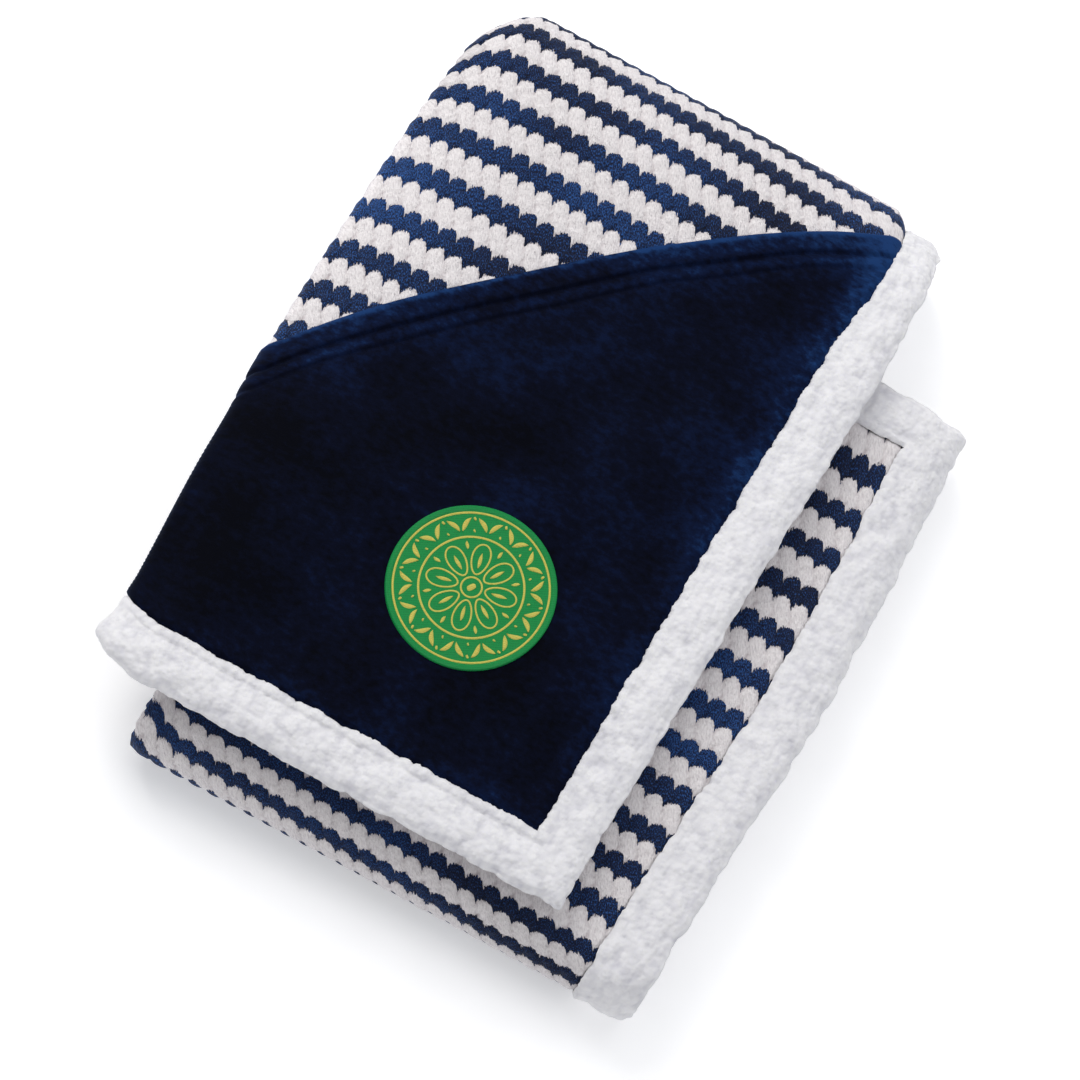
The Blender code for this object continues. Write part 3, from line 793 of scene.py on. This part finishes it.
BADGE_AT = (PATCH_CORNER_W - BADGE_FROM_CORNER, PATCH_CORNER_L + BADGE_FROM_CORNER)
BADGE_LOW = PATCH_TOP - 0.0006
BADGE_TOP = PATCH_TOP + 0.0008
BADGE_RIM = {"start": 0.0470, "height": 0.0008, "threads": 210, "twist": 0.00010, "wobble": 0.0012}
THREAD = 0.00046
RINGS = [(0.0462, 0.0015), (0.0312, 0.0015), (0.0062, 0.0013)]
LEAVES = {
    "pairs": 14, "radius": 0.0388, "apart": 0.105, "lean": 0.62, "size": (0.0098, 0.0030), "bend": 0.0009,
}
BEADS = [(0.0425, 0.0020), (0.0350, 0.0016)]
PETALS = {"count": 8, "turned": 0.2, "from": 0.0085, "to": 0.0275, "width": 0.0105, "line": 0.0012}


def grid_faces(rows, columns, start, closed=False):
    """Quads of a grid whose rows follow each other, and closed round if asked."""
    faces = []
    for i in range(rows if closed else rows - 1):
        for j in range(columns - 1):
            a, b = start + i * columns + j, start + (i + 1) % rows * columns + j
            faces.append([a, b, b + 1, a + 1])
    return faces


def badge_ground():
    """The green ground with a raised merrowed rim: points in badge coordinates and faces."""
    threads = BADGE_RIM["threads"]
    radii = joined(spaced(0.0008, 0.0462, 0.0022), spaced(0.0468, BADGE_RADIUS, 0.0005))
    angles = np.linspace(0, 2 * math.pi, 2 * threads, endpoint=False)
    points = [(0.0, 0.0, BADGE_TOP)]
    for angle in angles:
        for radius in radii:
            rim = (radius - BADGE_RIM["start"]) / (BADGE_RADIUS - BADGE_RIM["start"])
            height = BADGE_TOP
            if rim > 0:
                twist = BADGE_RIM["twist"] * math.sin(angle * threads + rim * 5)
                bulge = BADGE_RIM["height"] * math.sqrt(max(0.0, 1 - (2 * rim - 1) ** 2))
                height = BADGE_TOP + bulge + twist if rim < 0.999 else BADGE_LOW
            wobble = 1 + BADGE_RIM["wobble"] * math.sin(angle * threads) if rim > 0.8 else 1
            points.append((radius * math.cos(angle) * wobble, radius * math.sin(angle) * wobble, height))
    faces = grid_faces(len(angles), len(radii), 1, closed=True)
    for i in range(len(angles)):
        faces.append([0, 1 + i * len(radii), 1 + (i + 1) % len(angles) * len(radii)])
    return points, faces


def satin(line, widths, closed, height=0.0007, across=5):
    """A raised band of satin stitches along a line, ridged by its threads."""
    line = [Vector(p) for p in line]
    points = []
    count = len(line)
    for i, place in enumerate(line):
        ahead = line[(i + 1) % count] if closed or i < count - 1 else place
        behind = line[i - 1] if closed or i > 0 else place
        along = (ahead - behind).normalized()
        side = Vector((-along.y, along.x))
        ridge = 1.0 if i % 2 else 0.80
        for j in range(across + 1):
            v = 2 * j / across - 1
            lean = along * v * widths[i] * 0.25
            dome = math.sqrt(max(0.0, 1 - v * v * 0.985))
            spot = place + side * v * widths[i] / 2 + lean
            points.append((spot.x, spot.y, BADGE_TOP - 0.0002 + height * dome * ridge))
    return points, grid_faces(count, across + 1, 0, closed)


def around(radius, turn):
    """A place at a radius and an angle from the badge's middle."""
    return radius * math.cos(turn), radius * math.sin(turn)


def ring_line(radius):
    """Points round a ring, half a thread apart."""
    count = round(2 * math.pi * radius / (THREAD / 2))
    return [around(radius, 2 * math.pi * i / count) for i in range(count)]


def leaf(centre, angle, length, width, bend):
    """A satin leaf: its midline and its widths."""
    count = max(8, round(length / (THREAD / 2)))
    line, widths = [], []
    for i in range(count + 1):
        t = i / count
        u, v = (t - 0.5) * length, bend * math.sin(math.pi * t)
        line.append((
            centre[0] + u * math.cos(angle) - v * math.sin(angle),
            centre[1] + u * math.sin(angle) + v * math.cos(angle),
        ))
        widths.append(max(0.0004, width * math.sin(math.pi * t) ** 0.75))
    return line, widths


def petal_outline(angle, base, tip, width):
    """A closed line round a petal that points away from the middle."""
    line, count = [], 110
    for i in range(count):
        turn = 2 * math.pi * i / count
        u = mix(base, tip, 0.5 - 0.5 * math.cos(turn))
        v = width / 2 * math.sin(turn) * (1 - 0.35 * math.cos(turn)) ** 0.5
        line.append((u * math.cos(angle) - v * math.sin(angle), u * math.sin(angle) + v * math.cos(angle)))
    return line


def badge_stitches():
    """Gold rings, a ring of paired leaves and beads, and a rosette in the middle."""
    points, faces = [], []

    def add(band_points, band_faces):
        start = len(points)
        points.extend(band_points)
        faces.extend([start + i for i in face] for face in band_faces)

    def add_line(line, width):
        add(*satin(line, [width] * len(line), True))

    def add_leaf(centre, angle, length, width, height=0.0008, across=6, bend=0.0):
        line, widths = leaf(centre, angle, length, width, bend)
        add(*satin(line, widths, False, height, across))

    for radius, width in RINGS:
        add_line(ring_line(radius), width)
    for k in range(LEAVES["pairs"]):
        turn = 2 * math.pi * k / LEAVES["pairs"]
        for side in (-1, 1):
            at = turn + side * LEAVES["apart"]
            angle, bend = at + side * LEAVES["lean"], -side * LEAVES["bend"]
            add_leaf(around(LEAVES["radius"], at), angle, *LEAVES["size"], 0.0009, 7, bend)
        bead = turn + math.pi / LEAVES["pairs"]
        for radius, size in BEADS:
            add_leaf(around(radius, bead), bead, size * 1.1, size, 0.0009)
    for k in range(PETALS["count"]):
        turn = 2 * math.pi * k / PETALS["count"] + PETALS["turned"]
        between = turn + math.pi / PETALS["count"]
        add_line(petal_outline(turn, PETALS["from"], PETALS["to"], PETALS["width"]), PETALS["line"])
        add_leaf(around(0.0170, turn), turn, 0.0095, 0.0024)
        add_leaf(around(0.0262, between), between, 0.0050, 0.0022)
    add_leaf((0, 0), 0.4, 0.0052, 0.0050, 0.0010, 9)
    return points, faces


def make_badge(green, gold):
    pieces = []
    for name, (points, faces), material in (
        ("badge_ground", badge_ground(), green),
        ("badge_stitches", badge_stitches(), gold),
    ):
        at = np.array(points)
        w, l = BADGE_AT[0] + at[:, 0], BADGE_AT[1] + at[:, 1]
        placed = folded(w, l, at[:, 2])
        pieces.append(make_piece(name, placed, faces, at.T[:2], at[:, 2], material, "badge"))
    return pieces


# Materials

class Nodes:
    """Short ways to add nodes to one material."""

    def __init__(self, name):
        self.material = bpy.data.materials.new(name)
        self.material.use_nodes = True
        self.tree = self.material.node_tree
        self.shader = self.tree.nodes["Principled BSDF"]

    def add(self, kind, **settings):
        node = self.tree.nodes.new(kind)
        for key, value in settings.items():
            setattr(node, key, value)
        return node

    def link(self, source, target):
        if isinstance(source, bpy.types.NodeSocket):
            self.tree.links.new(source, target)
        else:
            target.default_value = source

    def feed(self, node, **values):
        for key, value in values.items():
            self.link(value, node.inputs[key.replace("_", " ")])

    def set(self, **values):
        self.feed(self.shader, **values)

    def math(self, operation, *values):
        node = self.add("ShaderNodeMath", operation=operation)
        for value, socket in zip(values, node.inputs):
            self.link(value, socket)
        return node.outputs[0]

    def plus(self, a, b):
        return self.math("ADD", a, b)

    def minus(self, a, b):
        return self.math("SUBTRACT", a, b)

    def times(self, a, b):
        return self.math("MULTIPLY", a, b)

    def clamped(self, value):
        return self.math("MINIMUM", self.math("MAXIMUM", value, 0.0), 1.0)

    def both(self, a, part_a, b, part_b):
        """Two values added in parts."""
        return self.plus(self.times(a, part_a), self.times(b, part_b))

    def vector(self, x, y, by_x=None, by_y=None):
        """A place from two values, each times its own number where one is given."""
        node = self.add("ShaderNodeCombineXYZ")
        for value, by, socket in zip((x, y), (by_x, by_y), node.inputs):
            self.link(self.times(value, by) if by else value, socket)
        return node.outputs[0]

    def flat(self):
        """The flat cloth places w and l."""
        uv = self.add("ShaderNodeUVMap", uv_map="flat")
        split = self.add("ShaderNodeSeparateXYZ")
        self.link(uv.outputs[0], split.inputs[0])
        return split.outputs[0], split.outputs[1]

    def noise(self, vector, scale, detail=2.0, rough=0.5):
        node = self.add("ShaderNodeTexNoise")
        self.feed(node, Vector=vector, Scale=scale, Detail=detail, Roughness=rough)
        return node.outputs[0]

    def ramp(self, value, stops):
        node = self.add("ShaderNodeValToRGB")
        self.link(value, node.inputs[0])
        ramp = node.color_ramp
        while len(ramp.elements) < len(stops):
            ramp.elements.new(0.5)
        for element, (place, colour) in zip(ramp.elements, stops):
            element.position = place
            element.color = (*colour, 1)
        return node.outputs[0]

    def blend(self, factor, a, b, kind="MIX"):
        node = self.add("ShaderNodeMix", data_type="RGBA", blend_type=kind)
        self.link(factor, node.inputs["Factor"])
        self.link(a, node.inputs[6])
        self.link(b, node.inputs[7])
        return node.outputs[2]

    def bump(self, height, distance, strength=1.0, normal=None):
        node = self.add("ShaderNodeBump")
        self.feed(node, Height=height, Distance=distance, Strength=strength)
        if normal:
            self.feed(node, Normal=normal)
        return node.outputs[0]

    def attribute(self, name):
        node = self.add("ShaderNodeAttribute", attribute_name=name)
        return node.outputs["Fac"]


def colour(code):
    """A colour code as linear values."""
    parts = [int(code[i:i + 2], 16) / 255 for i in (0, 2, 4)]
    return tuple(p / 12.92 if p <= 0.04045 else ((p + 0.055) / 1.055) ** 2.4 for p in parts)


def tuft_nodes(n, w, l, kind):
    """The tuft shape of the relief in material nodes: how far past its top, and past its row's middle."""
    norm = math.hypot(1, LEAN)
    start = n.minus(l, STRIPE_START)
    row = n.math("FLOOR", n.plus(n.math("DIVIDE", start, STRIPE), 0.5 - kind["row"]))
    row = n.plus(row, kind["row"])
    from_row = n.minus(start, n.times(row, STRIPE))
    shift = n.plus(n.times(row, 2 * TUFT_DRIFT * TUFT_PITCH), kind["shift"] * TUFT_PITCH)
    shifted = n.plus(n.plus(w, n.times(l, LEAN)), shift)
    column = n.math("FLOOR", n.plus(n.math("DIVIDE", shifted, TUFT_PITCH), 0.5))
    across = n.minus(shifted, n.times(column, TUFT_PITCH))
    p = n.minus(n.times(from_row, norm), n.times(across, LEAN / norm))
    wide = n.math("POWER", n.math("DIVIDE", n.math("ABSOLUTE", across), norm * TOP_HALF_WIDTH), SIDE_POWER)
    top = n.math("POWER", n.minus(1.0, wide), 1 / END_POWER)
    return n.minus(p, n.times(top, kind["half_length"])), from_row


def knit_material():
    n = Nodes("knit_look")
    w, l = n.flat()
    cream_top, from_cream = tuft_nodes(n, w, l, TUFTS["cream"])
    navy_top, from_navy = tuft_nodes(n, w, l, TUFTS["navy"])
    along = n.minus(l, n.times(w, LEAN))
    aslant = n.plus(w, n.times(l, LEAN))
    fibre = n.noise(n.vector(aslant, along, 900, 260), 1.0, 3.0, 0.6)
    fine = n.noise(n.vector(aslant, along, 1500, 620), 1.0, 2.0, 0.6)
    ragged = n.times(n.minus(fibre, 0.5), 0.0075)
    cream_below = n.math("GREATER_THAN", from_cream, from_navy)
    past = n.add("ShaderNodeMix", data_type="FLOAT")
    n.link(cream_below, past.inputs[0])
    n.link(n.times(navy_top, -1.0), past.inputs[2])
    n.link(cream_top, past.inputs[3])
    edge = n.plus(past.outputs[0], ragged)
    is_navy = n.clamped(n.plus(n.times(edge, 2200.0), 0.5))
    broad = n.noise(n.vector(w, l), 9.0, 2.0)
    glint = n.both(fine, 0.75, broad, 0.25)
    blue = n.ramp(glint, [(0.40, colour("03061a")), (0.51, colour("08173a")), (0.62, colour("28589c"))])
    white = n.ramp(fibre, [(0.25, colour("d6cfd0")), (0.60, colour("f4efef"))])
    tint = n.blend(is_navy, white, blue)
    # Painted shade between the tufts: where the relief attribute is low, the colour is multiplied darker,
    # more on navy than on cream
    valley_shade_colour = n.blend(is_navy, (0.74, 0.70, 0.71, 1), (0.40, 0.40, 0.44, 1))
    depth = n.clamped(n.times(n.minus(n.attribute("relief"), 0.15), 1.7))
    base = n.blend(1.0, tint, n.blend(depth, valley_shade_colour, (1.0, 1.0, 1.0, 1)), "MULTIPLY")
    bump = n.bump(fibre, 0.0016, 0.9)
    bump = n.bump(fine, 0.0008, 0.9, bump)
    n.set(Base_Color=base, Roughness=0.80, Normal=bump, Sheen_Weight=0.12, Sheen_Roughness=0.4)
    n.set(Sheen_Tint=(0.45, 0.60, 1.0, 1), Specular_IOR_Level=0.25)
    return n.material


def fleece_material():
    n = Nodes("sherpa_pile")
    place = n.add("ShaderNodeTexCoord").outputs["Object"]
    curl = n.add("ShaderNodeTexVoronoi", feature="SMOOTH_F1")
    n.feed(curl, Vector=place, Scale=330, Smoothness=0.6)
    fibre = n.noise(place, 1500, 3.0, 0.6)
    soft = n.noise(place, 60, 2.0)
    # Painted shade between the curls: the colour darkens where the relief attribute, the curl height, is
    # low; a soft noise adds random tone
    tone = n.both(n.attribute("relief"), 0.75, soft, 0.35)
    base = n.ramp(tone, [(0.12, colour("adacb6")), (0.45, colour("d1d0d6")), (0.80, colour("e9e8ea"))])
    bump = n.bump(n.minus(1.0, curl.outputs["Distance"]), 0.0012, 0.6)
    bump = n.bump(fibre, 0.0004, 0.6, bump)
    n.set(Base_Color=base, Roughness=0.95, Normal=bump, Sheen_Weight=0.35, Sheen_Roughness=0.6)
    n.set(Subsurface_Weight=0.12, Subsurface_Radius=(0.004, 0.004, 0.005), Specular_IOR_Level=0.15)
    n.set(Subsurface_Scale=1.0)
    return n.material


def plush_material():
    n = Nodes("navy_plush")
    w, l = n.flat()
    place = n.vector(w, l)
    brushed = n.noise(place, 16.0, 3.0, 0.55)
    strokes = n.noise(n.vector(w, l, 150, 210), 1.0, 4.0, 0.65)
    pile = n.noise(place, 1500, 2.0)
    tone = n.both(brushed, 0.55, strokes, 0.45)
    # Painted highlight: the bands in the relief attribute, mottled by the strokes, lighten the colour, and a
    # painted light gradient makes it lighter as w + l grows
    mottled = n.plus(0.30, n.times(strokes, 1.4))
    lit = n.times(n.times(n.attribute("relief"), mottled), 0.20)
    towards_light = n.times(n.plus(w, l), 0.16)
    tone = n.plus(n.plus(tone, lit), n.minus(towards_light, 0.16 * 1.35))
    dark = [(0.38, colour("03040c")), (0.52, colour("060a1c"))]
    base = n.ramp(tone, dark + [(0.66, colour("0a1633")), (0.88, colour("183563"))])
    bump = n.bump(strokes, 0.0010, 0.4)
    bump = n.bump(pile, 0.0002, 0.5, bump)
    n.set(Base_Color=base, Roughness=0.72, Normal=bump, Sheen_Weight=0.20, Sheen_Roughness=0.34)
    n.set(Sheen_Tint=(0.06, 0.18, 0.50, 1), Specular_IOR_Level=0.035)
    return n.material


def thread_material(name, low, high, lines, angle, gloss):
    """Shiny embroidery thread laid at an angle."""
    n = Nodes(name)
    w, l = n.flat()
    run = n.both(w, math.cos(angle), l, math.sin(angle))
    side = n.minus(n.times(l, math.cos(angle)), n.times(w, math.sin(angle)))
    row = n.math("FLOOR", n.times(side, lines))
    ridge = n.math("ABSOLUTE", n.math("SINE", n.times(side, math.pi * lines)))
    offset = n.math("FRACT", n.times(row, 0.37))
    stitch = n.math("FRACT", n.plus(n.times(run, 290), offset))
    stitch = n.math("SINE", n.times(stitch, math.pi))
    height = n.times(ridge, n.plus(0.45, n.times(stitch, 0.55)))
    grain = n.noise(n.vector(w, l), 900, 2.0)
    # Painted shade between threads: the colour runs from the low colour in the grooves to the high one on
    # the ridges, with a random grain
    tone = n.both(height, 0.7, grain, 0.4)
    base = n.ramp(tone, [(0.15, colour(low)), (0.75, colour(high))])
    bump = n.bump(height, 0.00035, 0.8)
    n.set(Base_Color=base, Roughness=gloss, Normal=bump, Specular_IOR_Level=0.3)
    return n.material


# Stage, light and camera

def make_stage():
    bpy.ops.mesh.primitive_plane_add(size=8.0, location=(0, 0, -0.0006))
    floor = bpy.context.active_object
    floor.name = "floor"
    n = Nodes("paper_floor")
    grain = n.noise(n.add("ShaderNodeTexCoord").outputs["Object"], 40.0, 2.0)
    n.set(Base_Color=n.ramp(grain, [(0.3, (0.93, 0.93, 0.935)), (0.7, (0.95, 0.95, 0.955))]), Roughness=0.9)
    n.set(Specular_IOR_Level=0.1, Emission_Color=(1.0, 1.0, 1.0, 1.0), Emission_Strength=FLOOR_GLOW)
    floor.data.materials.append(n.material)


def make_lights():
    for name, place, size, power, tone in LAMPS:
        data = bpy.data.lights.new(name, "AREA")
        data.size, data.energy, data.color = size, power, tone
        light = bpy.data.objects.new(name, data)
        bpy.context.scene.collection.objects.link(light)
        light.location = place
        light.rotation_euler = (Vector((0, 0, 0.03)) - light.location).to_track_quat("-Z", "Y").to_euler()
    world = bpy.data.worlds.new("studio")
    world.use_nodes = True
    background = world.node_tree.nodes["Background"]
    background.inputs[0].default_value = ROOM_LIGHT["tone"]
    background.inputs[1].default_value = ROOM_LIGHT["power"]
    bpy.context.scene.world = world
    bpy.context.scene.view_settings.view_transform = "Standard"


def make_camera():
    elevation, roll = math.radians(CAMERA["elevation"]), math.radians(CAMERA["roll"])
    ahead = Vector((0, math.cos(elevation), -math.sin(elevation)))
    right, up = Vector((1, 0, 0)), Vector((0, math.sin(elevation), math.cos(elevation)))
    axis_x = right * math.cos(roll) + up * math.sin(roll)
    axis_y = -right * math.sin(roll) + up * math.cos(roll)
    data = bpy.data.cameras.new("camera")
    data.lens = CAMERA["lens"]
    data.sensor_width = CAMERA["sensor"]
    camera = bpy.data.objects.new("camera", data)
    bpy.context.scene.collection.objects.link(camera)
    turned = Matrix((axis_x, axis_y, -ahead)).transposed().to_4x4()
    camera.matrix_world = Matrix.Translation(Vector(CAMERA["aim"]) - ahead * CAMERA["distance"]) @ turned
    bpy.context.scene.camera = camera


make_camera()
make_stage()
make_lights()
knit = make_knit(knit_material())
fleece = make_fleece(fleece_material())
patch = make_patch(plush_material())
badge = make_badge(
    thread_material("green_thread", "005e2e", "009c49", 1700, 0.9, 0.50),
    thread_material("gold_thread", "aea238", "f0e472", 2100, 0.5, 0.45),
)
